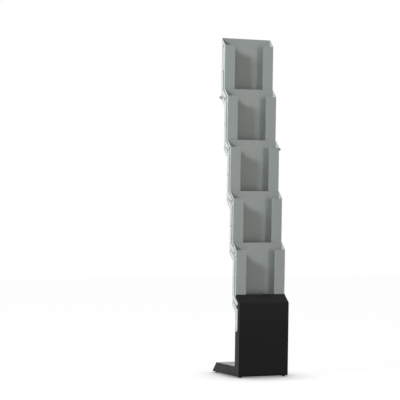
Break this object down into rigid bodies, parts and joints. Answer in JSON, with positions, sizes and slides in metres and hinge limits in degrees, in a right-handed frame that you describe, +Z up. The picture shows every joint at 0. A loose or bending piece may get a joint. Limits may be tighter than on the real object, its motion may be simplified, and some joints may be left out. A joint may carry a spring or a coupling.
{
  "type": "periodical display rack",
  "caption": "Folding floor rack for periodicals: silver pockets stacked on cranked side links that fold down behind a black upright base and foot.",
  "frame": {"origin": "on the floor, under the middle of the bounding box of the erected rack", "axes": "+X to the right as a reader sees the pockets, +Y backwards, +Z up"},
  "size_m": [0.2698, 0.25, 1.464],
  "materials": {
    "pocket_sheet": "satin silver-grey coated sheet with a fine upright grain",
    "link_bar": "bright satin flat bar",
    "pivot_steel": "zinc-plated steel",
    "base_paint": "satin black coat",
    "inner_steel": "dark primed steel",
    "knob_zinc": "dull zinc-plated steel, fluted",
    "foot_rubber": "matte black"
  },
  "bodies": {
    "base": {"base_cover": "base_paint", "base_back_panel": "base_paint", "base_frame": "inner_steel", "foot_tray": "base_paint", "foot_ballast": "inner_steel", "glide_front_left": "foot_rubber", "glide_front_right": "foot_rubber", "glide_rear_left": "foot_rubber", "glide_rear_right": "foot_rubber", "rivet_base_u_left": "pivot_steel", "rivet_base_u_right": "pivot_steel", "rivet_base_m_left": "pivot_steel", "rivet_base_m_right": "pivot_steel"},
    "pocket_1": {"pocket_1": "pocket_sheet", "rivet_1_m_left": "pivot_steel", "rivet_1_m_right": "pivot_steel", "clamp_stud_left": "pivot_steel", "rivet_1_l_right": "pivot_steel"},
    "pocket_2": {"pocket_2": "pocket_sheet", "rivet_2_u_left": "pivot_steel", "rivet_2_u_right": "pivot_steel", "rivet_2_m_left": "pivot_steel", "rivet_2_m_right": "pivot_steel", "rivet_2_l_left": "pivot_steel", "rivet_2_l_right": "pivot_steel"},
    "pocket_3": {"pocket_3": "pocket_sheet", "rivet_3_u_left": "pivot_steel", "clamp_stud_right": "pivot_steel", "rivet_3_m_left": "pivot_steel", "rivet_3_m_right": "pivot_steel", "rivet_3_l_left": "pivot_steel", "rivet_3_l_right": "pivot_steel"},
    "pocket_4": {"pocket_4": "pocket_sheet", "rivet_4_u_left": "pivot_steel", "rivet_4_u_right": "pivot_steel", "rivet_4_m_left": "pivot_steel", "rivet_4_m_right": "pivot_steel", "rivet_4_l_left": "pivot_steel", "rivet_4_l_right": "pivot_steel"},
    "pocket_5": {"pocket_5": "pocket_sheet", "rivet_5_u_left": "pivot_steel", "rivet_5_u_right": "pivot_steel", "rivet_5_m_left": "pivot_steel", "rivet_5_m_right": "pivot_steel", "rivet_5_l_left": "pivot_steel", "rivet_5_l_right": "pivot_steel"},
    "links_top": {"link_top_left": "link_bar", "link_top_right": "link_bar"},
    "links_1": {"link_1_left": "link_bar", "link_1_right": "link_bar"},
    "links_2": {"link_2_left": "link_bar", "link_2_right": "link_bar"},
    "links_3": {"link_3_left": "link_bar", "link_3_right": "link_bar"},
    "links_4": {"link_4_left": "link_bar", "link_4_right": "link_bar"},
    "links_bottom": {"link_bottom_left": "link_bar", "link_bottom_right": "link_bar"},
    "knob_left": {"clamp_knob_left": "knob_zinc"},
    "knob_right": {"clamp_knob_right": "knob_zinc"}
  },
  "joints": [
    {"name": "fold", "type": "hinge", "parent": "base", "child": "links_4", "pos_m": [0, -0.101, 0.316], "axis": [-1, 0, 0], "range_deg": [0, 145.5]},
    {"name": "bottom_link_turn", "type": "hinge", "parent": "base", "child": "links_bottom", "pos_m": [0, -0.101, 0.205], "axis": [-1, 0, 0], "range_deg": [0, 145.5]},
    {"name": "pocket_5_level", "type": "hinge", "parent": "links_4", "child": "pocket_5", "pos_m": [0, -0.067, 0.427], "axis": [-1, 0, 0], "range_deg": [-145.5, 0]},
    {"name": "link_3_turn", "type": "hinge", "parent": "pocket_5", "child": "links_3", "pos_m": [0, -0.067, 0.538], "axis": [-1, 0, 0], "range_deg": [0, 145.5]},
    {"name": "pocket_4_level", "type": "hinge", "parent": "links_3", "child": "pocket_4", "pos_m": [0, -0.033, 0.649], "axis": [-1, 0, 0], "range_deg": [-145.5, 0]},
    {"name": "link_2_turn", "type": "hinge", "parent": "pocket_4", "child": "links_2", "pos_m": [0, -0.033, 0.76], "axis": [-1, 0, 0], "range_deg": [0, 145.5]},
    {"name": "pocket_3_level", "type": "hinge", "parent": "links_2", "child": "pocket_3", "pos_m": [0, 0.001, 0.871], "axis": [-1, 0, 0], "range_deg": [-145.5, 0]},
    {"name": "link_1_turn", "type": "hinge", "parent": "pocket_3", "child": "links_1", "pos_m": [0, 0.001, 0.982], "axis": [-1, 0, 0], "range_deg": [0, 145.5]},
    {"name": "pocket_2_level", "type": "hinge", "parent": "links_1", "child": "pocket_2", "pos_m": [0, 0.035, 1.093], "axis": [-1, 0, 0], "range_deg": [-145.5, 0]},
    {"name": "top_link_turn", "type": "hinge", "parent": "pocket_2", "child": "links_top", "pos_m": [0, 0.035, 1.204], "axis": [-1, 0, 0], "range_deg": [0, 145.5]},
    {"name": "pocket_1_level", "type": "hinge", "parent": "links_top", "child": "pocket_1", "pos_m": [0, 0.069, 1.315], "axis": [-1, 0, 0], "range_deg": [-145.5, 0]},
    {"name": "left_knob_turn", "type": "hinge", "parent": "pocket_1", "child": "knob_left", "pos_m": [-0.1279, 0.069, 1.204], "axis": [-1, 0, 0], "range_deg": [0, 270]},
    {"name": "right_knob_turn", "type": "hinge", "parent": "pocket_3", "child": "knob_right", "pos_m": [0.1279, 0.001, 0.982], "axis": [1, 0, 0], "range_deg": [0, 270]}
  ],
  "couplings": [
    {"joint": "bottom_link_turn", "follows": "fold", "ratio": 1},
    {"joint": "pocket_5_level", "follows": "fold", "ratio": -1},
    {"joint": "link_3_turn", "follows": "fold", "ratio": 1},
    {"joint": "pocket_4_level", "follows": "fold", "ratio": -1},
    {"joint": "link_2_turn", "follows": "fold", "ratio": 1},
    {"joint": "pocket_3_level", "follows": "fold", "ratio": -1},
    {"joint": "link_1_turn", "follows": "fold", "ratio": 1},
    {"joint": "pocket_2_level", "follows": "fold", "ratio": -1},
    {"joint": "top_link_turn", "follows": "fold", "ratio": 1},
    {"joint": "pocket_1_level", "follows": "fold", "ratio": -1}
  ]
}
